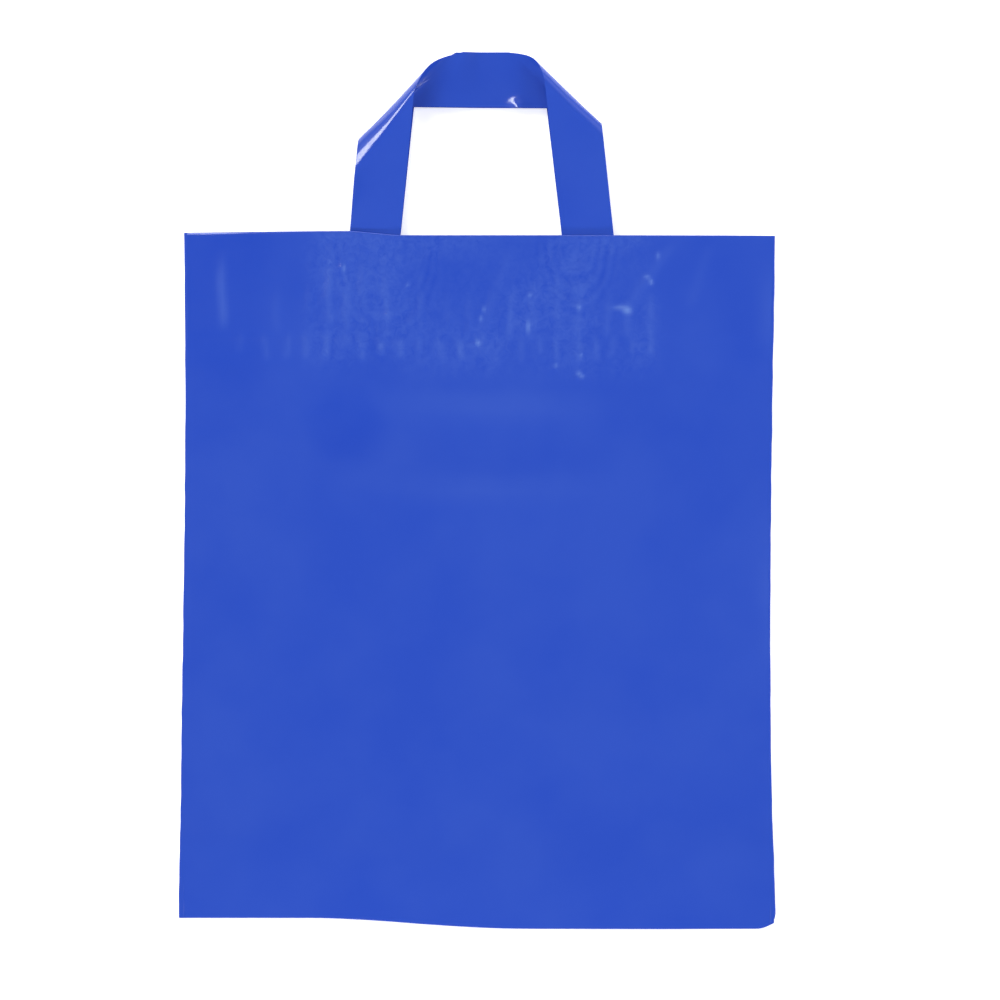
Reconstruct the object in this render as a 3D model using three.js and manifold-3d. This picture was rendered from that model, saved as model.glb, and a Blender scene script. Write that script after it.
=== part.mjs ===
import * as THREE from 'three';
import { mergeVertices } from 'three/addons/utils/BufferGeometryUtils.js';
import Module from 'manifold-3d';

// Carrier bag of blown film with two soft loop handles, lying on its back panel.
// X runs across the bag, Y from its base to its mouth, Z up from the surface it lies on.
// Sizes are in millimetres.

// Bag body
const bagWidth = 379.8; // across the mouth, weld to weld
const bagLength = 438.5; // mouth fold to base fold, at the left side
const filmThickness = 0.5;
const waistInset = 1.3; // how far each side draws in below the hem
const baseFlare = 1.9; // how far each side stands out again over the gusset
const sideLean = 2.3; // how far the base sits left of the mouth
const baseDrop = 7; // how much lower the base fold hangs at the right
const mouthBow = 2.7; // how far the mouth fold rises up to the left leg
const cornerRound = 6; // of the right base corner

// Hem: the film turned in at the mouth and welded down
const hemDepth = 67;
const hemGap = 0.4;
const hemLineDip = 0.9; // the weld line lies this much below the film beside it

// Gusset: the base tucked up between the panels
const gussetDepth = 50;
const layerGap = 0.3;

// Side welds
const weldWidth = 3.4;
const weldLip = 0.8;
const weldProud = 0.16;
const weldLift = 0.1;

// How far the loose front panel stands above its flat layers
const mouthLoft = 8.4;
const bodyLoft = 11.5;
const gussetLoft = 6.5;
const sideFullness = 3.4;

// Gathers that the hem weld draws into the film
const gatherPitch = 8; // ridge to valley
const gatherHeight = 0.75;
const gatherTail = 24; // how far the gathers run on below the weld line
const gatherLeft = -166;
const gatherRight = 118;
const plainPitch = 13; // column spacing where the film lies smooth

// Soft shapes of the front panel
const bandHeight = 0.7;
const dentDepth = 1.6;
const dentRadius = 34;

// Handles: one strip each, welded inside the hem and folded over at two corners
const stripWidth = 35.4;
const stripThickness = 0.6;
const footMargin = 7; // each end stops this far above the hem's weld line
const seatGap = 0.35; // between a handle's end and the hem it is welded to
const legSpread = 136.7; // between the legs' middles at the mouth
const shoulderSpread = 115.2; // between the middles of the two corners
const loopRise = 99.8; // mouth fold to the middle of the top strip
const loopOffset = 2.2; // the loop stands right of the bag's middle
const shoulderOffset = 1.5;
const loopTilt = 1; // the left corner stands this much higher
const legArch = 2.5; // how far a front leg bows up across its width
const topSag = 2.5; // how far a top strip dips between its corners

// Corner rolls of the front handle: height, reach, how far they pull the corner in, how much
// they fan out to the leg's outer edge, the drop of the shoulder beside the fold there, and the
// share by which the leg before them is drawn narrow
const leftRoll = { height: 20, reach: 10.5, inset: 13.4, cone: -0.055, fan: 0.4, shoulder: 9, draw: 0.08 };
const rightRoll = { height: 15, reach: 7.5, inset: 6.8, cone: -0.006, fan: 0.15, shoulder: 5, draw: 0.065 };

// The back handle lies under the front one with flatter rolls
const backRollHeight = 9.5;
const backRollReach = 3;
const backPullIn = 1; // how far its corners stay inside the front handle's
const stripGap = 0.5; // between the two top strips
const tableGap = 0.25; // under the back handle

const halfFilm = filmThickness / 2;
const halfStrip = stripThickness / 2;
const footDepth = hemDepth - footMargin;
const hemPitch = filmThickness + hemGap;
const layerPitch = filmThickness + layerGap;
const loopTop = loopRise + stripWidth / 2;
const mouthY = (bagLength + baseDrop - loopTop) / 2 - mouthBow / 2;

// Smooth step from 0 at a to 1 at b.
function ease(a, b, value) {
  return THREE.MathUtils.smoothstep(value, a, b);
}

// Bell of height 1 at the middle that falls away over the radius.
function bell(value, middle, radius) {
  return Math.exp(-(((value - middle) / radius) ** 2));
}

// Half the bag's width at a depth below the mouth.
function halfWidth(depth) {
  const down = depth / bagLength;
  const waist = waistInset * Math.sin(Math.PI * Math.min(down / 0.8, 1));
  return bagWidth / 2 - waist + baseFlare * ease(0.78, 1, down);
}

// X of the bag's middle at a depth below the mouth.
function middleAt(depth) {
  const down = depth / bagLength;
  return 1 - sideLean * (ease(0, 0.8, down) - 0.28 * ease(0.7, 1, down));
}

// X of a point that lies a share of the half width from the middle.
function acrossAt(share, depth) {
  return middleAt(depth) + share * halfWidth(depth);
}

// Y of the mouth fold and of the base fold along the bag's width.
function mouthLine(x) {
  const rise = 0.7 + 0.3 * ease(-bagWidth * 0.5, -bagWidth * 0.22, x);
  return mouthY + mouthBow * rise * (1 - ease(-bagWidth * 0.22, -bagWidth * 0.125, x));
}

function baseLine(x) {
  const drop = baseDrop * ease(-bagWidth * 0.29, bagWidth * 0.07, x);
  const side = halfWidth(bagLength);
  return mouthY - bagLength - drop + cornerRound * ease(side - 2 * cornerRound, side + cornerRound, x);
}

// Y of a point at a depth below the mouth.
function lengthAt(x, depth) {
  return mouthLine(x) + (depth / bagLength) * (baseLine(x) - mouthLine(x));
}

// Height of the front panel at the side welds, where every layer is pressed together.
function stackHeight(depth) {
  const plain = halfFilm + layerPitch;
  const hem = 1 - ease(hemDepth - 1, hemDepth + 7, depth);
  const gusset = ease(bagLength - gussetDepth - 8, bagLength - gussetDepth, depth);
  return plain + 2 * hemPitch * hem + 2 * layerPitch * gusset;
}

// How far the loose panel stands above that stack, half way between the sides.
function loftHeight(depth) {
  const fromBase = bagLength - depth;
  const upper = THREE.MathUtils.lerp(mouthLoft, bodyLoft, ease(hemDepth * 0.7, bagLength * 0.45, depth));
  const lower = gussetLoft * Math.sin((Math.min(fromBase / gussetDepth, 1) * Math.PI) / 2);
  return THREE.MathUtils.lerp(lower, upper, ease(gussetDepth * 0.7, gussetDepth * 2.8, fromBase));
}

// Share of the loft at a share of the half width.
function fullness(share) {
  return 1 - Math.abs(share) ** sideFullness;
}

// Smooth height of the front panel, without its gathers and dents.
function panelHeight(share, depth) {
  return stackHeight(depth) + loftHeight(depth) * fullness(share);
}

// Strength of the gathers across and along the film, strongest at the weld line.
function gatherStrength(x, depth) {
  const edge = 14;
  const across = ease(gatherLeft - edge, gatherLeft + edge, x) - ease(gatherRight - edge, gatherRight + edge, x);
  const above = ease(0, hemDepth * 0.55, depth);
  const below = 1 - ease(hemDepth + gatherTail * 0.3, hemDepth + gatherTail, depth);
  return across * Math.min(above, below);
}

// Soft bands, a dent and the pressed weld line of the front panel.
function panelRelief(share, x, depth) {
  const loose = fullness(share);
  const bands = bell(depth, hemDepth + 40, 12) + bell(depth, hemDepth + 93, 15);
  const band = bandHeight * bands * bell(x, 0, bagWidth * 0.2);
  const dent = dentDepth * bell(x, -bagWidth * 0.22, dentRadius) * bell(depth, hemDepth + 56, dentRadius * 0.8);
  const diagonal = bell(x + (depth - hemDepth) * 0.4, 0, 9) * bell(depth, hemDepth * 0.5, hemDepth * 0.4);
  const weldLine = hemLineDip * bell(depth, hemDepth, 4);
  return loose * (band - dent + bandHeight * diagonal - weldLine);
}

// Columns across the film: ridges and valleys by turns in the gathers, wider apart outside.
function filmColumns() {
  const end = bagWidth / 2 - weldLip;
  const columns = [];
  const run = (from, to, pitch, gathered) => {
    const count = Math.max(1, Math.round((to - from) / pitch));
    for (let i = 0; i < count; i += 1) {
      const drift = gathered ? 0.24 * pitch * Math.sin(i * 2.39) : 0;
      const size = 0.72 + 0.28 * Math.sin(i * 1.7);
      const swing = gathered ? size * (i % 2 ? -1 : 1) : 0;
      columns.push({ x: from + ((to - from) * i) / count + drift, swing });
    }
  };
  columns.push({ x: -end, swing: 0 });
  run(-end + weldWidth + 1, gatherLeft, plainPitch, false);
  run(gatherLeft, gatherRight, gatherPitch, true);
  run(gatherRight, end - weldWidth - 1, plainPitch, false);
  columns.push({ x: end - weldWidth - 1, swing: 0 });
  columns.push({ x: end, swing: 0 });
  return columns.map(({ x, swing }) => ({ share: x / (bagWidth / 2), swing }));
}

// Height of the film's middle surface in the front panel.
function frontHeight(column, depth) {
  const x = acrossAt(column.share, depth);
  const turn = depth > hemDepth ? -0.8 : 1;
  const gather = gatherHeight * column.swing * turn * gatherStrength(x, depth);
  return panelHeight(column.share, depth) + panelRelief(column.share, x, depth) + gather * fullness(column.share);
}

// Half turn of the film between two layers, seen from the side.
function halfTurn(column, depth, from, to, outward, steps) {
  const points = [];
  for (let i = 1; i < steps; i += 1) {
    const angle = (Math.PI * i) / steps;
    const radius = Math.abs(to - from) / 2;
    const z = from + ((to - from) * (1 - Math.cos(angle))) / 2;
    points.push(filmPoint(column, depth, z, outward * radius * Math.sin(angle)));
  }
  return points;
}

// A point of the film's middle surface, moved along Y by the bulge of a fold.
function filmPoint(column, depth, z, bulge = 0) {
  const x = acrossAt(column.share, depth);
  return new THREE.Vector3(x, lengthAt(x, depth) + bulge, z);
}

// Depths at which the film is drawn, from the mouth to the base.
const hemRows = [0.04, 0.18, 0.4, 0.66, 0.88].map((part) => part * hemDepth);
const panelRows = [
  ...[0, 7, 15, gatherTail, 38, 54].map((step) => hemDepth + step),
  ...[0.36, 0.45, 0.54, 0.64, 0.74, 0.83].map((part) => part * bagLength),
  ...[1, 0.76, 0.5, 0.24, 0.06].map((part) => bagLength - part * gussetDepth),
];
const hemEnd = hemDepth - 2;
const baseTurn = bagLength - layerPitch / 2;
const creaseDepth = bagLength - gussetDepth;

// The film's path down one column: front hem, front panel, gusset, back panel, back hem.
function filmPath(column) {
  const front = (depth) => frontHeight(column, depth);
  const hem = (depth) => filmPoint(column, depth, front(depth) - hemPitch);
  const layer = (count) => halfFilm + count * layerPitch;
  const mouthTurn = hemPitch / 2;
  const backHem = halfFilm + hemPitch;
  const top = front(mouthTurn);
  const foot = front(baseTurn);
  return [
    hem(hemEnd),
    ...hemRows.toReversed().map(hem),
    filmPoint(column, mouthTurn, top - hemPitch),
    ...halfTurn(column, mouthTurn, top - hemPitch, top, 1, 3),
    filmPoint(column, mouthTurn, top),
    ...[...hemRows, ...panelRows].map((depth) => filmPoint(column, depth, front(depth))),
    filmPoint(column, baseTurn, foot),
    ...halfTurn(column, baseTurn, foot, layer(2), -1, 3),
    filmPoint(column, baseTurn, layer(2)),
    filmPoint(column, creaseDepth + 2, layer(2)),
    ...halfTurn(column, creaseDepth + 2, layer(2), layer(1), 1, 2),
    filmPoint(column, creaseDepth + 2, layer(1)),
    filmPoint(column, baseTurn, layer(1)),
    ...halfTurn(column, baseTurn, layer(1), halfFilm, -1, 3),
    filmPoint(column, baseTurn, halfFilm),
    filmPoint(column, bagLength / 2, halfFilm),
    filmPoint(column, mouthTurn, halfFilm),
    ...halfTurn(column, mouthTurn, halfFilm, backHem, 1, 3),
    filmPoint(column, mouthTurn, backHem),
    filmPoint(column, hemEnd / 2, backHem),
    filmPoint(column, hemEnd, backHem),
  ];
}

// Closed solid of even thickness over a grid of middle points, given row by row.
function sheetSolid(rows, thickness) {
  const width = rows[0].length;
  const quads = [];
  for (let r = 0; r < rows.length - 1; r += 1) {
    for (let c = 0; c < width - 1; c += 1) {
      const a = r * width + c;
      quads.push(a, a + 1, a + width, a + 1, a + width + 1, a + width);
    }
  }
  const middle = new THREE.BufferGeometry().setFromPoints(rows.flat());
  middle.setIndex(quads);
  middle.computeVertexNormals();
  const normal = middle.getAttribute('normal');
  const lift = (side) => rows.flat().map((point, i) => {
    const away = new THREE.Vector3().fromBufferAttribute(normal, i);
    return point.clone().addScaledVector(away, (side * thickness) / 2);
  });
  const count = rows.length * width;
  const under = quads.map((i) => i + count).reverse();
  const rim = [];
  const close = (a, b) => rim.push(a, a + count, b, b, a + count, b + count);
  for (let c = 0; c < width - 1; c += 1) {
    close(c, c + 1);
    close((rows.length - 1) * width + c + 1, (rows.length - 1) * width + c);
  }
  for (let r = 0; r < rows.length - 1; r += 1) {
    close((r + 1) * width, r * width);
    close((r + 1) * width - 1, (r + 2) * width - 1);
  }
  const solid = new THREE.BufferGeometry().setFromPoints([...lift(1), ...lift(-1)]);
  solid.setIndex([...quads, ...under, ...rim]);
  return solid;
}

// The folded film without its side welds.
function filmGeometry() {
  const paths = filmColumns().map(filmPath);
  return sheetSolid(paths[0].map((_, i) => paths.map((path) => path[i])), filmThickness);
}

// Side weld: a band that joins every layer along one edge.
function weldGeometry(side) {
  const depths = [0, ...hemRows, ...panelRows, bagLength];
  const round = side > 0 ? cornerRound : 0;
  const ring = (depth) => {
    const edge = halfWidth(depth) * side;
    const low = Math.max(0, depth - (bagLength - round)) / (round || 1);
    const outer = edge - side * round * (1 - Math.sqrt(1 - low * low)) * 0.6;
    const inner = edge - side * (weldWidth + weldLip);
    const top = stackHeight(depth) + halfFilm + weldProud;
    const place = (across, z) => {
      const x = across + middleAt(depth);
      return new THREE.Vector3(x, lengthAt(x, depth), z);
    };
    return [place(inner, weldLift), place(inner, top), place(outer, top), place(outer, weldLift)];
  };
  const rings = depths.map(ring);
  const index = [];
  for (let r = 0; r < rings.length - 1; r += 1) {
    for (let k = 0; k < 4; k += 1) {
      const a = r * 4 + k;
      const b = r * 4 + ((k + 1) % 4);
      index.push(a, b, a + 4, b, b + 4, a + 4);
    }
  }
  const last = (rings.length - 1) * 4;
  index.push(0, 2, 1, 0, 3, 2, last, last + 1, last + 2, last, last + 2, last + 3);
  if (side > 0) index.reverse();
  const band = new THREE.BufferGeometry().setFromPoints(rings.flat());
  band.setIndex(index);
  return band;
}

// Joining closed meshes
const wasm = await Module();
wasm.setup();

function toManifold(geometry) {
  const bare = geometry.clone();
  bare.deleteAttribute('normal');
  bare.deleteAttribute('uv');
  const merged = mergeVertices(bare, 1e-4);
  return new wasm.Manifold(new wasm.Mesh({
    numProp: 3,
    vertProperties: new Float32Array(merged.getAttribute('position').array),
    triVerts: new Uint32Array(merged.getIndex().array),
  }));
}

function toGeometry(solid) {
  const mesh = solid.getMesh();
  const geometry = new THREE.BufferGeometry();
  geometry.setAttribute('position', new THREE.BufferAttribute(mesh.vertProperties, 3));
  geometry.setIndex(new THREE.BufferAttribute(mesh.triVerts, 1));
  return geometry;
}

function bodyGeometry() {
  const film = toManifold(filmGeometry());
  const welds = toManifold(weldGeometry(-1)).add(toManifold(weldGeometry(1)));
  return toGeometry(film.add(welds));
}

// Plan of a handle: the points where its middle line enters the bag and turns its corners.
function handlePlan(pullIn) {
  const mouth = (side) => new THREE.Vector2(loopOffset + (side * legSpread) / 2, mouthY);
  const shoulder = (side) => new THREE.Vector2(
    shoulderOffset + side * (shoulderSpread / 2 - pullIn * 0.3),
    mouthY + loopRise - side * loopTilt * 0.5 - pullIn * 0.3,
  );
  return { mouth, shoulder };
}

// One corner of a handle: the directions before and after it, and its roll.
function cornerFrame(plan, side) {
  const base = plan.mouth(side);
  const corner = plan.shoulder(side);
  const along = corner.clone().sub(base).normalize();
  const onward = plan.shoulder(-side).clone().sub(corner).normalize();
  const outward = along.clone().sub(onward).normalize();
  const inward = new THREE.Vector2(along.y, -along.x).multiplyScalar(-side);
  const axis = new THREE.Vector2(-outward.y, outward.x).multiplyScalar(side);
  return { side, base, corner, along, inward, outward, axis, span: corner.distanceTo(base) };
}

// Where the strip crosses the fold: its length from the mouth for a place across the strip.
function foldCrossing(frame, across) {
  return frame.span - (across * frame.inward.dot(frame.outward)) / frame.along.dot(frame.outward);
}

// Plan point of the unfolded leg.
function legPoint(frame, across, length) {
  return frame.base.clone().addScaledVector(frame.along, length).addScaledVector(frame.inward, across);
}

// How far a roll reaches out, for a place across the strip.
function rollReach(roll, across) {
  return roll.reach * (1 - (2 * roll.fan * across) / stripWidth);
}

// Half of the film's length round the roll, for a place across the strip.
function rollHalf(frame, roll, across) {
  const crossing = legPoint(frame, across, foldCrossing(frame, across)).sub(frame.corner);
  return rollReach(roll, across) + roll.inset + roll.cone * crossing.dot(frame.axis);
}

// Section of a roll: how far out and how far below its top the film is. The leg's inner edge
// swings round with the roll, and its outer edge runs straight to the fold and drops there.
function rollSection(roll, half, across, angle) {
  const front = Math.min(angle, Math.PI - angle);
  const run = (2 * half * front) / Math.PI;
  const reach = rollReach(roll, across);
  const step = Math.min(run / reach, 1);
  const wall = Math.max(0, run - reach) / (half - reach);
  const round = { out: Math.sin(front), drop: (roll.height / 2) * (1 - Math.cos(front)) };
  const shoulder = roll.shoulder * (1 - Math.sqrt(1 - step * step));
  const straight = { out: step, drop: shoulder + (roll.height / 2 - roll.shoulder) * wall };
  const swing = ease(-0.5, 0.2, across / stripWidth);
  const drop = THREE.MathUtils.lerp(straight.drop, round.drop, swing);
  return {
    out: reach * THREE.MathUtils.lerp(straight.out, round.out, swing),
    drop: angle > Math.PI / 2 ? roll.height - drop : drop,
  };
}

// Point on the roll, from angle 0 at the leg to pi at the top strip.
function rollPoint(frame, roll, across, angle) {
  const half = rollHalf(frame, roll, across);
  const before = half * ((2 * angle) / Math.PI - 1);
  const slope = frame.along.dot(frame.outward);
  const width = 1 - roll.draw * (1 - ease(Math.PI / 2, Math.PI, angle));
  const plan = legPoint(frame, across * width, foldCrossing(frame, across) + before / slope);
  const section = rollSection(roll, half, across, angle);
  plan.addScaledVector(frame.outward, section.out - half - before);
  return new THREE.Vector3(plan.x, plan.y, roll.low + roll.height - section.drop);
}

// Angles at which a roll is drawn, one of them where the leg's outer edge meets the fold.
function rollAngles(roll) {
  const reach = rollReach(roll, -stripWidth / 2);
  const meet = reach / (reach + roll.inset) / 2;
  const shares = [0, meet / 2, meet, meet / 2 + 0.25, 0.5];
  return [...shares, ...shares.slice(0, -1).reverse().map((share) => 1 - share)].map((share) => share * Math.PI);
}

// Point on the top strip, from share 0 at the roll to 1 at the strip's middle.
function topPoint(frame, roll, across, share, plan) {
  const half = rollHalf(frame, roll, across);
  const start = foldCrossing(frame, across) + half / frame.along.dot(frame.outward);
  const end = frame.span + plan.shoulder(1).distanceTo(plan.shoulder(-1)) / 2;
  const flat = legPoint(frame, across, THREE.MathUtils.lerp(start, end, share));
  const past = flat.clone().sub(frame.corner).dot(frame.outward);
  flat.addScaledVector(frame.outward, -2 * past);
  return new THREE.Vector3(flat.x, flat.y, THREE.MathUtils.lerp(roll.low, roll.middle, ease(0, 1, share)));
}

const acrossSteps = [-0.5, -0.25, 0, 0.25, 0.5];

// Rows of one half of a handle, from its foot to the middle of the top strip.
function handleHalf(plan, roll, side, footHeight) {
  const frame = cornerFrame(plan, side);
  const row = (point) => acrossSteps.map((part) => point(part * stripWidth));
  const foot = (length) => row((across) => {
    const flat = legPoint(frame, across * (1 - roll.draw), length);
    return new THREE.Vector3(flat.x, flat.y, footHeight(flat.x, flat.y));
  });
  const leg = (share) => row((across) => {
    const half = rollHalf(frame, roll, across);
    const end = foldCrossing(frame, across) - half / frame.along.dot(frame.outward);
    const flat = legPoint(frame, across * (1 - roll.draw), THREE.MathUtils.lerp(3, end, share));
    const rise = THREE.MathUtils.lerp(footHeight(flat.x, mouthY), roll.low + roll.height, ease(0, 1, share));
    const bow = roll.arch * ease(0, 0.2, share) * (1 - ease(0.4, 1, share)) * (1 - ((2 * across) / stripWidth) ** 2);
    return new THREE.Vector3(flat.x, flat.y, rise + bow);
  });
  const rows = [-footDepth, -footDepth * 0.66, -footDepth * 0.33, -3].map(foot);
  rows.push(...[0, 0.2, 0.4, 0.6, 0.8].map(leg));
  rows.push(...rollAngles(roll).map((angle) => row((across) => rollPoint(frame, roll, across, angle))));
  rows.push(...[0.25, 0.5, 0.75, 1].map((share) => row((across) => topPoint(frame, roll, across, share, plan))));
  return rows;
}

// A whole handle: the left half, then the right half run backwards.
function handleGeometry(plan, rolls, footHeight, facing) {
  const left = handleHalf(plan, rolls.left, -1, footHeight);
  const right = handleHalf(plan, rolls.right, 1, footHeight).slice(0, -1).reverse();
  const rows = [...left, ...right];
  const solid = sheetSolid(facing > 0 ? rows : rows.toReversed(), stripThickness);
  return solid;
}

// Height of a handle's foot against the front hem, clear of the gathers.
function frontFootHeight(x, y) {
  const depth = THREE.MathUtils.clamp(mouthY - y, 2, hemDepth);
  const share = x / halfWidth(depth);
  const underHem = panelHeight(share, depth) - hemPitch - halfFilm;
  const clear = gatherHeight * gatherStrength(x, depth) + hemLineDip * bell(depth, hemDepth, 4);
  return underHem - clear - seatGap - halfStrip;
}

// Height of a handle's foot on the back hem.
function backFootHeight(x, y) {
  const resting = tableGap + halfStrip;
  const seated = hemPitch + filmThickness + seatGap + halfStrip;
  return THREE.MathUtils.lerp(seated, resting, ease(mouthY + 2, mouthY + 30, y));
}

// Rolls of the back handle: its leg lies lowest and its top strip comes back above it.
function backRolls() {
  const rollFor = (front) => ({
    reach: backRollReach,
    inset: front.inset + backPullIn,
    cone: front.cone,
    fan: front.fan,
    low: tableGap + halfStrip + backRollHeight,
    height: -backRollHeight,
    shoulder: -backRollHeight / 4,
    middle: tableGap + halfStrip + backRollHeight - topSag,
    draw: front.draw,
    arch: 0,
  });
  return { left: rollFor(leftRoll), right: rollFor(rightRoll) };
}

// Rolls of the front handle: its top strip lies on the back handle's.
function frontRolls() {
  const back = backRolls();
  const rollFor = (front, under) => ({
    ...front,
    arch: legArch,
    low: under.low + stripThickness + stripGap,
    middle: under.middle + stripThickness + stripGap,
  });
  return { left: rollFor(leftRoll, back.left), right: rollFor(rightRoll, back.right) };
}

function filmMaterial(color) {
  return new THREE.MeshStandardMaterial({ color, roughness: 0.32, metalness: 0, side: THREE.DoubleSide });
}

function addPiece(group, name, geometry, color) {
  const mesh = new THREE.Mesh(geometry, filmMaterial(color));
  mesh.name = name;
  group.add(mesh);
}

const bag = new THREE.Group();
bag.name = 'carrier_bag';
addPiece(bag, 'bag_body', bodyGeometry(), 0x3455c6);
addPiece(bag, 'front_handle', handleGeometry(handlePlan(0), frontRolls(), frontFootHeight, 1), 0x3354c4);
addPiece(bag, 'back_handle', handleGeometry(handlePlan(backPullIn), backRolls(), backFootHeight, 1), 0x3052c0);

// The outline is centred over the origin.
const outline = new THREE.Box3().setFromObject(bag);
bag.position.x -= (outline.min.x + outline.max.x) / 2;
bag.position.y -= (outline.min.y + outline.max.y) / 2;
bag.position.z -= outline.min.z;

export default bag;
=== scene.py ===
"""A carrier bag of blue blown film with soft loop handles, laid flat on its back panel."""

import logging
import math
from collections.abc import Callable
from dataclasses import dataclass, field, replace
from enum import Enum

import bpy
import numpy as np
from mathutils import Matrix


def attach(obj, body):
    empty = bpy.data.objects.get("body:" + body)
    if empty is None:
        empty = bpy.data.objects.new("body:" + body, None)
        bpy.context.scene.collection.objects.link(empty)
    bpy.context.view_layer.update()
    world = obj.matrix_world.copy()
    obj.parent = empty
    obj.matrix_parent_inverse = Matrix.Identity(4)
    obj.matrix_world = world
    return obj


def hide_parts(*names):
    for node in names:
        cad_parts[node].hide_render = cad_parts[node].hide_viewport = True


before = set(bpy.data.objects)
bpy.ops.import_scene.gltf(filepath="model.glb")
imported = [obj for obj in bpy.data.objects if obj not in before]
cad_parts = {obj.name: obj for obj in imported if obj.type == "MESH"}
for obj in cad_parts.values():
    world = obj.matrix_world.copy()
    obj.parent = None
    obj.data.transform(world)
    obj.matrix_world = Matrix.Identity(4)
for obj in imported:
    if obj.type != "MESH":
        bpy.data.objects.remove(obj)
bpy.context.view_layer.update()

LOG = logging.getLogger("carrier_bag")
MM = 0.001
OUTLINE_SHIFT = (0.7, 1.39)  # from the bag's own lines to the middle of its outline, mm
PIXEL = 0.642  # mm to a pixel of the photograph
MIDDLE_COLUMN = 478.0  # pixels, where the bag's middle line lies
MOUTH_ROW = 235.0  # pixels, where the mouth lies

Numbers = np.ndarray
Place = tuple[float, float]
Tree = bpy.types.NodeTree
Socket = bpy.types.NodeSocket


def ease(start: float, end: float, value: Numbers | float) -> Numbers:
    """Return the height at the value of a smooth step from 0 at start to 1 at end."""
    share = np.clip((np.asarray(value, float) - start) / (end - start), 0.0, 1.0)
    return share * share * (3.0 - 2.0 * share)


def bell(value: Numbers | float, middle: Numbers | float, radius: float) -> Numbers:
    """Return the height at the value of a bell, 1 at its middle and falling over its radius."""
    return np.exp(-(((np.asarray(value, float) - middle) / radius) ** 2))


@dataclass(frozen=True)
class SoftNoise:
    """Smooth random waves over a plane, the same ones each time."""

    seed: int
    size: int = 64

    def lattice(self) -> Numbers:
        """Return the random heights that the waves pass through."""
        return np.random.default_rng(self.seed).uniform(-1.0, 1.0, (self.size, self.size))

    def at(self, across: Numbers, along: Numbers) -> Numbers:
        """Read the waves.

        Args:
            across: First coordinate, in wavelengths.
            along: Second coordinate, in wavelengths.

        Returns:
            Heights between -1 and 1.
        """
        across, along = np.broadcast_arrays(np.asarray(across, float), np.asarray(along, float))
        grid = self.lattice()
        i0, j0 = np.floor(across).astype(int), np.floor(along).astype(int)
        u, v = across - i0, along - j0
        u, v = u * u * (3 - 2 * u), v * v * (3 - 2 * v)
        i1, j1 = (i0 + 1) % self.size, (j0 + 1) % self.size
        i0, j0 = i0 % self.size, j0 % self.size
        low = grid[i0, j0] * (1 - u) + grid[i1, j0] * u
        high = grid[i0, j1] * (1 - u) + grid[i1, j1] * u
        return low * (1 - v) + high * v


@dataclass
class FilmSheet:
    """A sheet of even thickness over a grid of middle points, in millimetres."""

    points: Numbers
    thickness: float
    looks: dict[str, Numbers] = field(default_factory=dict)
    sharpest_bend: float = 55.0  # degrees; a sharper one shows as an edge

    def normals(self) -> Numbers:
        """Return the sheet's direction at each point, pointing away from its first side."""
        p = self.points
        cross = np.cross(p[:-1, 1:] - p[:-1, :-1], p[1:, :-1] - p[:-1, :-1])
        other = np.cross(p[1:, :-1] - p[1:, 1:], p[:-1, 1:] - p[1:, 1:])
        face = cross + other
        total = np.zeros_like(p)
        for rows in (slice(0, -1), slice(1, None)):
            for columns in (slice(0, -1), slice(1, None)):
                total[rows, columns] += face
        length = np.linalg.norm(total, axis=2, keepdims=True)
        return total / np.maximum(length, 1e-12)

    def mesh(self, name: str) -> bpy.types.Mesh:
        """Build the closed sheet.

        Args:
            name: The mesh's name.

        Returns:
            The mesh, in metres.
        """
        rows, columns, _ = self.points.shape
        lift = self.normals() * self.thickness / 2
        upper = (self.points + lift).reshape(-1, 3)
        lower = (self.points - lift).reshape(-1, 3)
        count = rows * columns
        index = np.arange(count).reshape(rows, columns)
        a, b = index[:-1, :-1].ravel(), index[:-1, 1:].ravel()
        c, d = index[1:, 1:].ravel(), index[1:, :-1].ravel()
        top = np.stack([a, b, c, d], 1)
        under = top[:, ::-1] + count
        edge = np.concatenate([index[0, :], index[1:, -1], index[-1, -2::-1], index[-2:0:-1, 0]])
        onward = np.roll(edge, -1)
        rim = np.stack([edge, edge + count, onward + count, onward], 1)
        faces = np.concatenate([top, under, rim])
        mesh = bpy.data.meshes.new(name)
        mesh.from_pydata((np.concatenate([upper, lower]) * MM).tolist(), [], faces.tolist())
        for look, amounts in self.looks.items():
            layer = mesh.attributes.new(look, "FLOAT", "POINT")
            layer.data.foreach_set("value", np.tile(amounts.ravel(), 2))
        mesh.validate()
        mesh.shade_smooth()
        mesh.set_sharp_from_angle(angle=math.radians(self.sharpest_bend))
        return mesh


def place_in_scene(name: str, data: bpy.types.ID) -> bpy.types.Object:
    """Put a mesh, a light or a camera in the scene."""
    thing = bpy.data.objects.new(name, data)
    bpy.context.scene.collection.objects.link(thing)
    return thing


def new_material(name: str) -> tuple[bpy.types.Material, bpy.types.Node]:
    """Return a new material and its shader."""
    material = bpy.data.materials.new(name)
    material.use_nodes = True
    return material, material.node_tree.nodes["Principled BSDF"]


def add_piece(
    name: str, mesh: bpy.types.Mesh, material: bpy.types.Material
) -> bpy.types.Object:
    """Put a piece in the scene, on the bag's one body.

    Args:
        name: The piece's name.
        mesh: Its mesh.
        material: Its finish.

    Returns:
        The new piece.
    """
    piece = place_in_scene(name, mesh)
    mesh.materials.append(material)
    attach(piece, "root")
    return piece


def combine(tree: Tree, operation: str, one: Socket, other: Socket) -> Socket:
    """Add, subtract or multiply two values.

    Args:
        tree: The nodes that it joins.
        operation: ADD, SUBTRACT or MULTIPLY.
        one: The first value.
        other: The second value.

    Returns:
        The outcome.
    """
    node = tree.nodes.new("ShaderNodeMath")
    node.operation = operation
    tree.links.new(one, node.inputs[0])
    tree.links.new(other, node.inputs[1])
    return node.outputs["Value"]


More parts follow.
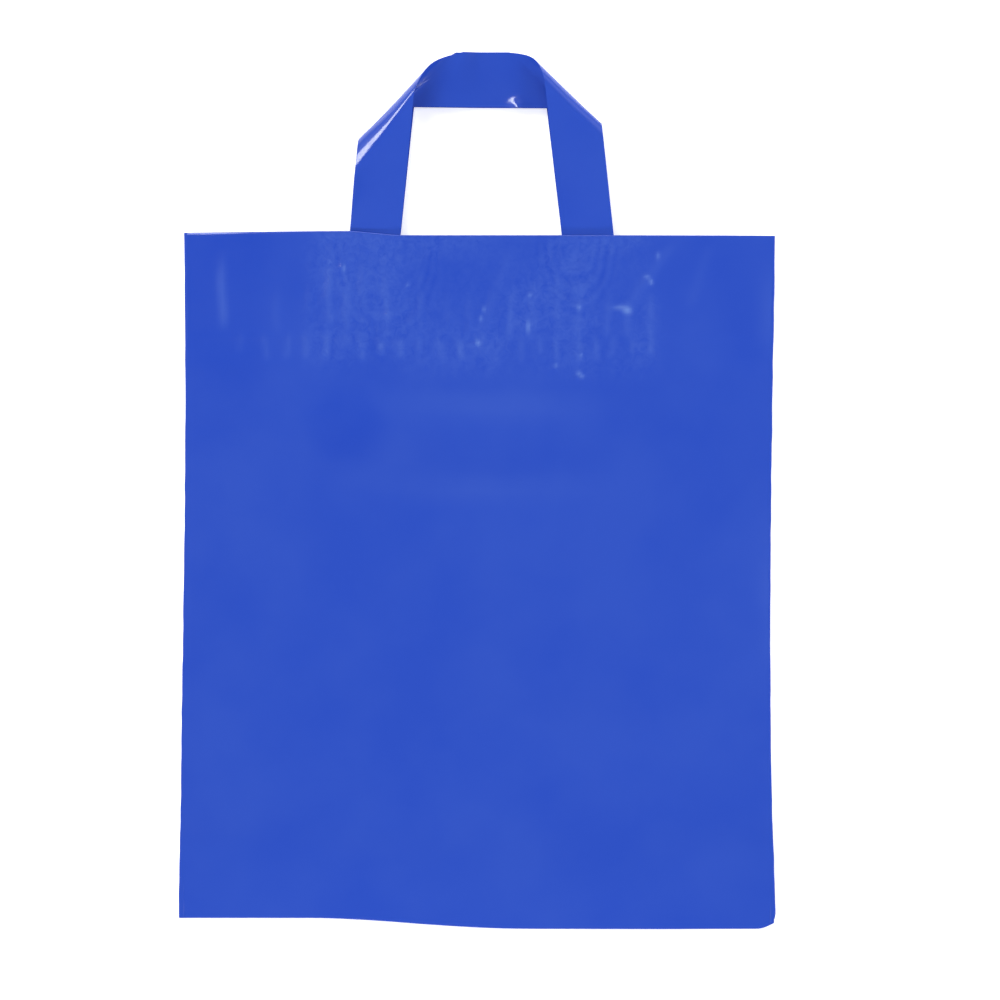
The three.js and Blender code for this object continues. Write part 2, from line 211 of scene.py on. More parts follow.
def remap(tree: Tree, value: Socket, source: Place, target: Place, soft: bool = False) -> Socket:
    """Stretch a value from one range to another.

    Args:
        tree: The nodes that it joins.
        value: The value to stretch.
        source: Its range.
        target: The range it is stretched to.
        soft: Whether it sets out and arrives smoothly.

    Returns:
        The stretched value.
    """
    node = tree.nodes.new("ShaderNodeMapRange")
    if soft:
        node.interpolation_type = "SMOOTHSTEP"
    node.inputs["From Min"].default_value, node.inputs["From Max"].default_value = source
    node.inputs["To Min"].default_value, node.inputs["To Max"].default_value = target
    tree.links.new(value, node.inputs["Value"])
    return node.outputs["Result"]


class Grain(Enum):
    """The way the film was drawn when it was blown, as stretches of its fine lines."""

    ACROSS_BAG = (0.5, 1.0, 1.0)
    UP_STRIP = (1.0, 0.3, 1.0)


@dataclass(frozen=True)
class Crumple:
    """Fine crumpling of film that was gripped, with a painted sheen that follows it, and the light
    and shade painted over the panel.
    """

    scale: float = 210.0
    # How strong the painted sheen on the crumpled film is.
    tone: float = 4.0
    height: float = 0.00011
    distortion: float = 1.6


@dataclass(frozen=True)
class FilmFinish:
    """Glossy, slightly milky blue polyethylene film."""

    name: str
    colour: tuple[float, float, float] = (0.0138, 0.0550, 0.412)
    # The second colour, that the film's random clouds lean to; the painted sheen, highlights and
    # lighter bands lean to it too.
    milky_and_sheen: tuple[float, float, float] = (0.0205, 0.0653, 0.422)
    roughness: Place = (0.13, 0.17)
    refraction: float = 1.5
    grain: Grain = Grain.ACROSS_BAG
    cloud_scale: float = 16.0
    line_scale: float = 420.0
    peel_scale: float = 900.0
    relief: float = 0.03
    line_height: float = 0.0002
    peel_height: float = 0.0001
    peel_share: float = 0.6
    cloud_range: Place = (0.35, 0.65)
    line_range: Place = (0.3, 0.7)
    clouds: Place = (0.0, 0.7)
    crumple: Crumple | None = None

    def make(self) -> bpy.types.Material:
        """Return the finish as a material."""
        material, shader = new_material(self.name)
        tree = material.node_tree
        shader.inputs["IOR"].default_value = self.refraction
        shader.inputs["Specular IOR Level"].default_value = 0.5
        place = tree.nodes.new("ShaderNodeTexCoord")
        stretch = tree.nodes.new("ShaderNodeMapping")
        stretch.inputs["Scale"].default_value = self.grain.value
        tree.links.new(place.outputs["Object"], stretch.inputs["Vector"])

        cloud = self.noise(tree, place.outputs["Object"], self.cloud_scale, 3.0)
        lines = self.noise(tree, stretch.outputs["Vector"], self.line_scale, 2.0)
        peel = self.noise(tree, place.outputs["Object"], self.peel_scale, 1.0)

        # The film's colour leans to the second one in random clouds, and by the painted light and
        # shade: towards it for sheen and highlights, away from it for shade.
        tint = tree.nodes.new("ShaderNodeMix")
        tint.data_type = "RGBA"
        tint.inputs["A"].default_value = (*self.colour, 1.0)
        tint.inputs["B"].default_value = (*self.milky_and_sheen, 1.0)
        tint.clamp_factor = False
        amount = remap(tree, cloud, self.cloud_range, self.clouds)
        tree.links.new(tint.outputs["Result"], shader.inputs["Base Color"])
        if self.crumple:
            # On the crumpled film the colour swings with a painted sheen that follows the creases,
            # and the panel's painted light and shade is added.
            creases = self.noise(tree, place.outputs["Object"], self.crumple.scale, 2.5)
            creases.node.inputs["Distortion"].default_value = self.crumple.distortion
            crumpled = self.attribute(tree, "crumpled")
            most = self.crumple.tone / 2
            swing = remap(tree, creases, (0.0, 1.0), (-most, most))
            fine = combine(tree, "MULTIPLY", swing, crumpled)
            broad = combine(tree, "ADD", amount, self.attribute(tree, "painted_light_and_shade"))
            amount = combine(tree, "ADD", broad, fine)
        tree.links.new(amount, tint.inputs["Factor"])

        gloss = remap(tree, lines, self.line_range, self.roughness)
        tree.links.new(gloss, shader.inputs["Roughness"])

        first = self.bump(tree, lines, self.relief, self.line_height)
        second = self.bump(tree, peel, self.relief * self.peel_share, self.peel_height)
        tree.links.new(first.outputs["Normal"], second.inputs["Normal"])
        last = second
        if self.crumple:
            last = self.bump(tree, creases, 1.0, self.crumple.height)
            tree.links.new(crumpled, last.inputs["Strength"])
            tree.links.new(second.outputs["Normal"], last.inputs["Normal"])
        tree.links.new(last.outputs["Normal"], shader.inputs["Normal"])
        return material

    @staticmethod
    def attribute(tree: Tree, name: str) -> Socket:
        """Read one of the sheet's looks."""
        node = tree.nodes.new("ShaderNodeAttribute")
        node.attribute_name = name
        return node.outputs["Fac"]

    @staticmethod
    def noise(tree: Tree, vector: Socket, scale: float, detail: float) -> Socket:
        """Add a noise texture.

        Args:
            tree: The material's nodes.
            vector: Where the noise is read.
            scale: Its scale, per metre.
            detail: How many finer layers it has.

        Returns:
            Its height.
        """
        node = tree.nodes.new("ShaderNodeTexNoise")
        node.inputs["Scale"].default_value = scale
        node.inputs["Detail"].default_value = detail
        tree.links.new(vector, node.inputs["Vector"])
        return node.outputs["Fac"]

    @staticmethod
    def bump(tree: Tree, height: Socket, strength: float, distance: float) -> bpy.types.Node:
        """Add a bump.

        Args:
            tree: The material's nodes.
            height: Its height.
            strength: How strong it is.
            distance: How far it stands out, in metres.

        Returns:
            The bump's node.
        """
        node = tree.nodes.new("ShaderNodeBump")
        node.inputs["Strength"].default_value = strength
        node.inputs["Distance"].default_value = distance
        tree.links.new(height, node.inputs["Height"])
        return node


@dataclass(frozen=True)
class FloorFinish:
    """Smooth, matt white board."""

    name: str = "pale_floor"
    colour: tuple[float, float, float, float] = (0.92, 0.92, 0.92, 1.0)
    roughness: float = 0.85
    glow: float = 0.5

    def make(self) -> bpy.types.Material:
        """Return the finish as a material."""
        material, shader = new_material(self.name)
        shader.inputs["Base Color"].default_value = self.colour
        shader.inputs["Roughness"].default_value = self.roughness
        shader.inputs["Specular IOR Level"].default_value = 0.0
        shader.inputs["Emission Color"].default_value = self.colour
        shader.inputs["Emission Strength"].default_value = self.glow
        return material


@dataclass(frozen=True)
class Gather:
    """One ridge that the hem weld draws into the film, in millimetres."""

    across: float
    height: float
    width: float
    start: float
    end: float
    lean: float = 0.0
    # Strength of the painted sheen along the ridge.
    look: float = 0.8
    rise_share: float = 0.45
    fall_share: float = 0.25
    wander: Place = (0.55, 6.5)  # how far it winds to the side, and over what length

    def shape(self, x: Numbers, depth: float, weld: float) -> Numbers:
        """Read the ridge's shape.

        Args:
            x: Places across the bag.
            depth: Depth below the mouth.
            weld: Depth of the hem's weld line.

        Returns:
            The share of the ridge's height at each place.
        """
        length = self.end - self.start
        along = ease(self.start, self.start + self.rise_share * length, depth) * (
            1 - ease(self.end - self.fall_share * length, self.end, depth)
        )
        far, pitch = self.wander
        wind = far * math.sin(depth / pitch + self.across)
        middle = self.across + self.lean * (depth - weld) + wind
        return along * bell(x, middle, self.width)


@dataclass(frozen=True)
class Knuckle:
    """A small sharp bend in the film, with a painted highlight on its steep side, in millimetres."""

    across: float
    depth: float
    face: float
    length: float
    turn: float
    # Strength of the painted highlight on the steep side.
    look: float = 7.0
    slope: float = 0.2
    tail: float = 7.0
    # How far the painted highlight spreads.
    highlight_spread: Place = (0.62, 0.55)  # as shares of its face and of its length

    def at(self, x: Numbers, depth: float) -> Numbers:
        """Read the bend.

        Args:
            x: Places across the bag.
            depth: Depth below the mouth.

        Returns:
            Its height at each place.
        """
        toward, beside = self.local(x, depth)
        steep = 1 - np.clip(toward / self.face, 0, 1)
        gentle = ease(-self.tail, 0, toward)
        rise = self.slope * self.face * np.where(toward > 0, steep, gentle)
        return rise * bell(beside, 0, self.length / 2)

    def light(self, x: Numbers, depth: float) -> Numbers:
        """Return the painted highlight on the bend's steep side at each place."""
        toward, beside = self.local(x, depth)
        down, side = self.highlight_spread
        light = self.look * bell(toward, self.face / 2, self.face * down)
        return light * bell(beside, 0, self.length * side)

    def local(self, x: Numbers, depth: float) -> tuple[Numbers, Numbers]:
        """Return how far places lie down the steep side, and beside its middle."""
        turn = math.radians(self.turn)
        right, up = x - self.across, self.depth - depth
        toward = right * math.cos(turn) + up * math.sin(turn) + self.face / 2
        return toward, up * math.cos(turn) - right * math.sin(turn)


def seen_at(column: float, row: float) -> Place:
    """Return where a pixel lies on the front panel, across and below the mouth, in millimetres."""
    return (column - MIDDLE_COLUMN) * PIXEL, (row - MOUTH_ROW) * PIXEL


@dataclass
class PanelRelief:
    """The soft shapes of the front panel: gathers, creases, bands and a dent, and the light and
    shade painted over them.
    """

    hem_depth: float = 67.0
    # Pixels across, where gathers run up from the weld line, and where they run down from it.
    upper_columns: tuple[float, ...] = (
        277, 306, 329, 347, 366, 389, 420, 447, 468, 489, 510, 533, 556, 579, 607, 629, 650,
    )
    lower_columns: tuple[float, ...] = (
        240, 265, 288, 306, 327, 345, 362, 381, 401, 420, 440,
        460, 482, 521, 540, 557, 579, 597, 612, 632, 650,
    )
    # Column and row in pixels, then face, length, turn and look, the strength of the painted
    # highlight.
    knuckles: tuple[tuple[float, ...], ...] = (
        (658, 255, 2.0, 3.8, 0, 6), (344, 272, 1.8, 4.0, 0, 6), (330, 265, 1.6, 1.8, 0, 5),
        (647, 276, 2.0, 3.4, 75, 7), (651, 281, 1.8, 3.0, 20, 10), (408, 284, 1.8, 1.9, 60, 6),
        (530, 294, 1.8, 2.2, 10, 5), (579, 306, 2.0, 2.8, 30, 6), (484, 308, 1.8, 3.0, 0, 7),
        (620, 306, 2.2, 8.0, 90, 7), (627, 309, 3.0, 5.0, 80, 11), (481, 317, 1.8, 3.6, 0, 6),
        (528, 325, 2.0, 7.2, 0, 8), (478, 341, 2.2, 3.2, 20, 9), (581, 353, 1.6, 1.9, 0, 5),
        (556, 363, 2.0, 2.6, 40, 6), (579, 371, 2.2, 3.2, 60, 8), (582, 374, 1.8, 2.6, 90, 7),
        (381, 347, 2.2, 3.0, 100, 3),
    )
    # Upper and lower end in pixels, then width and height.
    slants: tuple[tuple[Place, Place, float, float], ...] = (
        ((513, 246), (478, 337), 3.6, 0.28), ((674, 241), (625, 310), 4.2, 0.34),
        ((710, 243), (690, 305), 4.0, 0.2),
    )
    # Column in pixels, then inner radius, outer radius and strength.
    pulls: tuple[tuple[float, float, float, float], ...] = (
        (577, 8.0, 30.0, 1.0), (383, 24.0, 42.0, 0.6),
    )
    pull_row: float = 246.0
    pull_pitch: float = 5.6
    bands: Place = (40.0, 93.0)  # depths of the two bands below the weld line
    # How far the painted light of each band spreads.
    band_light_radii: Place = (9.0, 10.0)  # how deep each looks
    band_depths: Place = (12.0, 15.0)  # how deep each is
    dent: Place = (-83.6, 57.0)  # across, and below the weld line
    # Size and edge of the painted shade in the dent.
    dent_shade_size: Place = (28.0, 25.0)
    dent_shade_edge: Place = (0.55, 1.25)
    # Where painted shade darkens the left of the hem: across, then depths.
    left_shade_sides: Place = (-148.0, -122.0)
    left_shade_depths: Place = (5.0, 40.0)  # below the weld line
    # A painted highlight along the right edge: its depths with their spreads, then its place across
    # with its spread.
    side_highlight_depths: tuple[Place, Place] = ((48.0, 22.0), (232.0, 34.0))
    side_highlight_place: Place = (188.0, 8.0)
    grip_sides: tuple[float, float, float, float] = (-120.0, -98.0, 104.0, 124.0)
    # Painted sheen of the crumpled zone: an even part and a part that follows the crinkles.
    grip_sheen: Place = (0.98, 0.6)
    crinkle_heights: Place = (0.22, 0.08)
    # Strengths of the painted light and shade.
    band_sheen: float = 1.1
    dent_shade: float = 0.8
    left_shade_strength: float = 0.75
    ridge_sheen: float = 1.7
    side_highlight: float = 1.2
    crease_sheen: float = 2.8
    ring_light_and_shade: float = 0.6
    ring_height: float = 0.16
    weld_press: float = 0.16
    gathers: list[Gather] = field(default_factory=list)
    glints: list[Knuckle] = field(default_factory=list)
    waves: SoftNoise = SoftNoise(11)
    crinkle: SoftNoise = SoftNoise(23)

    def __post_init__(self) -> None:
        """Lay out the gathers and the knuckles from where the photograph shows them."""
        chance = np.random.default_rng(5)
        weld = self.hem_depth
        for column in self.upper_columns:
            x, _ = seen_at(column, 0)
            width = 1.8 + 1.0 * chance.random()
            start = 4 + 34 * chance.random()
            lean = 0.09 * chance.uniform(-1, 1)
            look = chance.uniform(0.15, 0.95)
            height = width * chance.uniform(0.1, 0.18)
            self.gathers.append(Gather(x, height, width, start, weld + 1, lean, look))
        for column in self.lower_columns:
            x, _ = seen_at(column, 0)
            width = 1.7 + 0.8 * chance.random()
            end = weld + 9 + 9 * chance.random()
            lean = 0.07 * chance.uniform(-1, 1)
            look = chance.uniform(0.4, 1.3)
            height = width * chance.uniform(0.12, 0.2)
            self.gathers.append(Gather(x, height, width, weld - 6, end, lean, look))
        lone, _ = seen_at(223, 0)
        self.gathers.append(
            Gather(lone, height=0.6, width=3.0, start=8, end=weld - 1, lean=0.02, look=1.6)
        )
        self.glints = [Knuckle(*seen_at(*mark[:2]), *mark[2:]) for mark in self.knuckles]

    def gripped(self, x: Numbers, depth: float) -> Numbers:
        """Tell how finely crumpled the film is.

        Args:
            x: Places across the bag.
            depth: Depth below the mouth.

        Returns:
            The crumpling at each place, from 0 to 1.
        """
        end = self.hem_depth + 5
        outer_left, left, right, outer_right = self.grip_sides
        zone = ease(outer_left, left, x) * (1 - ease(right, outer_right, x))
        zone = zone * (1 - ease(end, end + 27, depth))
        patches = ease(-0.5, 0.35, self.waves.at(x / 30 + 32, depth / 24 + 50))
        return zone * (0.35 + 0.65 * patches)

    def painted_light_and_shade(self, x: Numbers, depth: float) -> Numbers:
        """Paint the panel's light and shade: sheen, highlights and lighter bands, and shade in the
        dent and on the left of the hem.

        Args:
            x: Places across the bag.
            depth: Depth below the mouth.

        Returns:
            The painted light and shade at each place: lighter above 0, darker below; 0 is plain
            film.
        """
        weld = self.hem_depth
        # Painted light on the two bands.
        bands = self.band_pair(depth, self.band_light_radii) * bell(x, 3, 60)
        # Painted shade in the dent.
        dent_x, dent_depth = self.dent
        wide, deep = self.dent_shade_size
        away = np.hypot((x - dent_x) / wide, (depth - weld - dent_depth) / deep)
        dent = 1 - ease(*self.dent_shade_edge, away)
        # Painted shade over the left of the hem.
        start, end = self.left_shade_depths
        left_shade = (1 - ease(*self.left_shade_sides, x)) * (1 - ease(weld + start, weld + end, depth))
        none = np.zeros_like(x)
        # Painted sheen along the gathers.
        ridges = sum((ridge.look * ridge.shape(x, depth, weld) for ridge in self.gathers), none)
        fine = self.crinkle.at(x / 3.6 + 11, depth / 5.0 + 5)
        fine = fine + 0.6 * self.crinkle.at(x / 2.3, depth / 3.1 + 50)
        # Painted highlight along the right edge.
        side = sum(bell(depth, *place) for place in self.side_highlight_depths) * bell(x, *self.side_highlight_place)
        # Painted sheen over the crumpled zone.
        even, grain = self.grip_sheen
        total = self.gripped(x, depth) * (even + grain * fine)
        total = total + self.band_sheen * bands - self.dent_shade * dent - self.left_shade_strength * left_shade
        total = total + self.ridge_sheen * ridges + self.side_highlight * side
        # Painted highlights on the knuckles' steep sides.
        painted_highlights = sum((mark.light(x, depth) for mark in self.glints), none)
        # Painted sheen along the creases, and painted light and shade in the pull rings.
        lines = self.crease_sheen * self.creases(x, depth) + self.ring_light_and_shade * self.rings(x, depth)
        return total + lines + painted_highlights

    def band_pair(self, depth: float, radii: Place) -> Numbers:
        """Return how strong the two bands are at a depth, with these radii."""
        return sum(bell(depth, self.hem_depth + at, radius) for at, radius in zip(self.bands, radii))

    def broad(self, x: Numbers, depth: float) -> Numbers:
        """Add up the bands, the dent and the long waves of the loose film.

        Args:
            x: Places across the bag.
            depth: Depth below the mouth.

        Returns:
            Their height at each place.
        """
        weld = self.hem_depth
        band = 0.7 * self.band_pair(depth, self.band_depths) * bell(x, 0, 76)
        dent_x, dent_depth = self.dent
        dent = 1.6 * bell(x, dent_x, 34) * bell(depth, weld + dent_depth - 1, 27)
        waves = 0.55 * self.waves.at(x / 70 + 9, depth / 55)
        waves = waves + 0.25 * self.waves.at(x / 31, depth / 24 + 20)
        return band - dent + waves * ease(weld, weld + 30, depth)

    def gathered(self, x: Numbers, depth: float) -> Numbers:
        """Return the height of the gathers and of the creases beside the handle's ends."""
        weld = self.hem_depth
        ridges = (ridge.height * ridge.shape(x, depth, weld) for ridge in self.gathers)
        total = sum(ridges, np.zeros_like(x))
        return total + self.creases(x, depth) - self.weld_press * self.hem_dip(depth)

    def creases(self, x: Numbers, depth: float) -> Numbers:
        """Return the height of the slanting creases beside the right handle end."""
        total = np.zeros_like(x)
        for start, end, width, height in self.slants:
            total = total + height * self.crease(x, depth, seen_at(*start), seen_at(*end), width)
        return total

    def rings(self, x: Numbers, depth: float) -> Numbers:
        """Draw the pull rings round the two handle ends.

        Args:
            x: Places across the bag.
            depth: Depth below the mouth.

        Returns:
            The rings at each place, from -1 to 1.
        """
        total = np.zeros_like(x)
        for column, start, end, strength in self.pulls:
            middle_x, middle_depth = seen_at(column, self.pull_row)
            away = np.hypot(x - middle_x, (depth - middle_depth) * 0.62)
            away = away + 1.6 * self.waves.at(x / 13 + 25, depth / 13 + 7)
            near = ease(start, start + 3, away) * (1 - ease(end - 9, end, away)) * ease(0, 9, depth)
            total = total + strength * np.cos(away * 2 * math.pi / self.pull_pitch) * near
        return total

    @staticmethod
    def crease(x: Numbers, depth: float, start: Place, end: Place, width: float) -> Numbers:
        """Read a slanting crease.

        Args:
            x: Places across the bag.
            depth: Depth below the mouth.
            start: Its upper end, across and down.
            end: Its lower end.
            width: How wide it is.

        Returns:
            The crease's height, up to 1.
        """
        share = (depth - start[1]) / (end[1] - start[1])
        middle = start[0] + share * (end[0] - start[0])
        fade = ease(-0.1, 0.2, share) * (1 - ease(0.85, 1.1, share))
        return fade * bell(x, middle, width)

    def hem_dip(self, depth: float) -> float:
        """Return how far the weld line is pressed in at a depth."""
        return float(bell(depth, self.hem_depth, 2.2))

    def fine(self, x: Numbers, depth: float) -> Numbers:
        """Add up the small crinkles, the pull rings and the knuckles.

        Args:
            x: Places across the bag.
            depth: Depth below the mouth.

        Returns:
            Their height at each place.
        """
        coarse, small = self.crinkle_heights
        crinkle = coarse * self.crinkle.at(x / 5.2, depth / 8.5)
        crinkle = crinkle + small * self.crinkle.at(x / 2.9 + 30, depth / 4.2)
        knuckles = sum((knuckle.at(x, depth) for knuckle in self.glints), np.zeros_like(x))
        crinkle = crinkle * self.gripped(x, depth) * ease(0, 10, depth)
        return crinkle + self.ring_height * self.rings(x, depth) + knuckles


@dataclass
class BagBody:
    """The folded film: front hem, front panel, gusset, back panel and back hem, in millimetres."""

    width: float = 379.8
    length: float = 438.5
    flat_length: float = 442.0
    waist: float = 1.3
    flare: float = 1.9
    lean: float = 2.3
    base_drop: float = 7.0
    mouth_bow: float = 2.7
    bow_shares: tuple[float, float, float] = (-0.5, -0.22, -0.125)  # of the width, from its middle
    mouth_y: float = 162.65
    corner: float = 6.0
    hem_depth: float = 67.0
    gusset_depth: float = 50.0
    layer: float = 0.25
    hem_pitch: float = 0.9
    layer_pitch: float = 0.8
    film: float = 0.25
    mouth_loft: float = 8.4
    body_loft: float = 11.5
    gusset_loft: float = 6.5
    fullness_power: float = 3.4
    relief: PanelRelief = field(default_factory=PanelRelief)
    first_panel_row: int = 0
    panel_depths: list[float] = field(default_factory=list)

    def half_width(self, depth: float) -> float:
        """Return half the bag's width at a depth below the mouth."""
        down = depth / self.length
        waist = self.waist * math.sin(math.pi * min(down / 0.8, 1))
        return self.width / 2 - waist + self.flare * float(ease(0.78, 1, down))

    def middle(self, depth: float) -> float:
        """Return where the bag's middle lies at a depth below the mouth."""
        down = depth / self.length
        return 1 - self.lean * float(ease(0, 0.8, down) - 0.28 * ease(0.7, 1, down))

    def across(self, share: Numbers, depth: float) -> Numbers:
        """Return the places across the bag of shares of its half width."""
        return self.middle(depth) + share * self.half_width(depth)

    def mouth_line(self, x: Numbers) -> Numbers:
        """Return the mouth fold's height along the bag's width."""
        start, top, end = (share * self.width for share in self.bow_shares)
        rise = 0.7 + 0.3 * ease(start, top, x)
        return self.mouth_y + self.mouth_bow * rise * (1 - ease(top, end, x))

    def base_line(self, x: Numbers) -> Numbers:
        """Return the base fold's height along the bag's width."""
        drop = self.base_drop * ease(-self.width * 0.29, self.width * 0.07, x)
        side = self.half_width(self.length)
        rise = self.corner * ease(side - 2 * self.corner, side + self.corner, x)
        return self.mouth_y - self.length - drop + rise

    def along(self, x: Numbers, depth: float) -> Numbers:
        """Return the length place of points at a depth below the mouth."""
        mouth = self.mouth_line(x)
        return mouth + depth / self.length * (self.base_line(x) - mouth)

    def stack(self, depth: float, slack: float = 14.0) -> float:
        """Return the front panel's height where it lies on the layers below.

        Args:
            depth: Depth below the mouth.
            slack: How much farther than at the side welds the film bridges a step between layers.

        Returns:
            The height of the film's middle.
        """
        hem = 1 - float(ease(self.hem_depth - 1 - slack * 0.3, self.hem_depth + 8 + slack, depth))
        edge = self.length - self.gusset_depth
        gusset = float(ease(edge - 8 - slack, edge + slack * 0.3, depth))
        plain = self.layer + self.layer_pitch
        return plain + 2 * self.hem_pitch * hem + 2 * self.layer_pitch * gusset

    def loft(self, depth: float) -> float:
        """Return how far the loose front panel stands above that stack."""
        up = self.length - depth
        share = float(ease(self.hem_depth * 0.7, self.length * 0.45, depth))
        upper = self.mouth_loft + (self.body_loft - self.mouth_loft) * share
        lower = self.gusset_loft * math.sin(min(up / self.gusset_depth, 1) * math.pi / 2)
        mix = float(ease(self.gusset_depth * 0.7, self.gusset_depth * 2.8, up))
        return lower + (upper - lower) * mix

    def front(self, share: Numbers, depth: float, fine: bool = True) -> Numbers:
        """Return the height of the front panel.

        Args:
            share: Places across, as shares of the half width.
            depth: Depth below the mouth.
            fine: Whether the small crinkles are in it.

        Returns:
            The height of the film's middle at each place.
        """
        x = self.across(share, depth)
        loose = 1 - np.abs(share) ** self.fullness_power
        soft = ease(0, 10, self.half_width(depth) * (1 - np.abs(share)))
        ground = self.stack(depth) + (self.stack(depth, 60.0) - self.stack(depth)) * loose
        height = ground + self.loft(depth) * loose
        height = height + loose * self.relief.broad(x, depth)
        height = height + soft * self.relief.gathered(x, depth)
        if fine:
            height = height + soft * self.relief.fine(x, depth)
        return height

    def columns(self) -> Numbers:
        """Return the places across at which the film is drawn, closest where it is gathered."""
        end = self.width / 2 - 0.8
        spans = ((-end, -118, 2.4), (-118, 128, 1.35), (128, end, 2.4))
        places = [np.linspace(a, b, round((b - a) / step), endpoint=False) for a, b, step in spans]
        return np.append(np.concatenate(places), end) / (self.width / 2)

    def row(
        self, share: Numbers, depth: float, height: Numbers | float, bulge: Numbers | float = 0.0
    ) -> Numbers:
        """Return one line of film points across the bag at a depth and a height."""
        x = self.across(share, depth)
        z = np.broadcast_to(np.asarray(height, float), x.shape)
        return np.stack([x, self.along(x, depth) + bulge, z], 1)

    def turn(
        self, share: Numbers, depth: float, start: Numbers | float, end: Numbers | float,
        way: float, steps: int,
    ) -> list[Numbers]:
        """Carry the film half round a fold.

        Args:
            share: Places across.
            depth: Depth of the fold's middle.
            start: Height of the layer it leaves.
            end: Height of the layer it comes to.
            way: 1 towards the mouth, -1 towards the base.
            steps: How many steps it takes.

        Returns:
            The lines of points between the two layers.
        """
        rows = []
        for step in range(1, steps):
            angle = math.pi * step / steps
            height = start + (np.asarray(end) - start) * (1 - math.cos(angle)) / 2
            bulge = way * np.abs(np.asarray(end) - start) / 2 * math.sin(angle)
            rows.append(self.row(share, depth, height, bulge))
        return rows

    def points(self) -> Numbers:
        """Return the grid of the film's middle points, line by line from the front hem's end."""
        share = self.columns()
        front = self.front
        hem_end = self.hem_depth - 2
        mouth = self.hem_pitch / 2
        base = self.length - self.layer_pitch / 2
        crease = self.length - self.gusset_depth + 2
        level = [self.layer + count * self.layer_pitch for count in range(3)]
        back_hem = self.layer + self.hem_pitch
        hem = np.linspace(hem_end, mouth, 18)
        rows = [self.row(share, depth, self.inside(share, depth)) for depth in hem]
        rows += self.turn(share, mouth, self.inside(share, mouth), front(share, mouth), 1, 6)
        self.first_panel_row = len(rows)
        upper = np.arange(mouth, self.hem_depth + 30, 1.5)
        lower = np.linspace(self.hem_depth + 30, self.length - self.gusset_depth, 46)
        last = np.linspace(self.length - self.gusset_depth, base, 16)
        self.panel_depths = np.concatenate([upper, lower, last[1:]]).tolist()
        rows += [self.row(share, depth, front(share, depth)) for depth in self.panel_depths]
        rows += self.turn(share, base, front(share, base), level[2], -1, 5)
        rows += [self.row(share, depth, level[2]) for depth in np.linspace(base, crease, 4)]
        rows += self.turn(share, crease, level[2], level[1], 1, 3)
        rows += [self.row(share, depth, level[1]) for depth in np.linspace(crease, base, 4)]
        rows += self.turn(share, base, level[1], level[0], -1, 5)
        rows += [self.row(share, depth, level[0]) for depth in np.linspace(base, mouth, 14)]
        rows += self.turn(share, mouth, level[0], back_hem, 1, 6)
        rows += [self.row(share, depth, back_hem) for depth in np.linspace(mouth, hem_end, 6)]
        return np.stack(rows) + (*OUTLINE_SHIFT, 0.0)

    def inside(self, share: Numbers, depth: float) -> Numbers:
        """Return the height of the front hem's turned-in layer."""
        below = self.hem_pitch
        return self.front(share, depth, fine=False) - below - 0.1 * float(ease(0, 8, depth))

    def looks(self, shape: tuple[int, int]) -> dict[str, Numbers]:
        """Tell how the film looks at each point of the grid.

        Args:
            shape: The grid's lines and columns.

        Returns:
            How milky and how crumpled it is, by name.
        """
        # The panel's painted light and shade, and where it is crumpled.
        looks = {"painted_light_and_shade": np.zeros(shape), "crumpled": np.zeros(shape)}
        share = self.columns()
        for row, depth in enumerate(self.panel_depths, self.first_panel_row):
            x = self.across(share, depth)
            looks["painted_light_and_shade"][row] = self.relief.painted_light_and_shade(x, depth)
            looks["crumpled"][row] = self.relief.gripped(x, depth)
        return looks

    def build(self, finish: FilmFinish) -> bpy.types.Object:
        """Make the film and stand it in for the plain solid.

        Args:
            finish: The film's finish.

        Returns:
            The new piece.
        """
        points = self.points()
        sheet = FilmSheet(points, self.film, self.looks(points.shape[:2]))
        piece = add_piece("folded_film", sheet.mesh("folded_film"), finish.make())
        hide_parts("bag_body")
        return piece


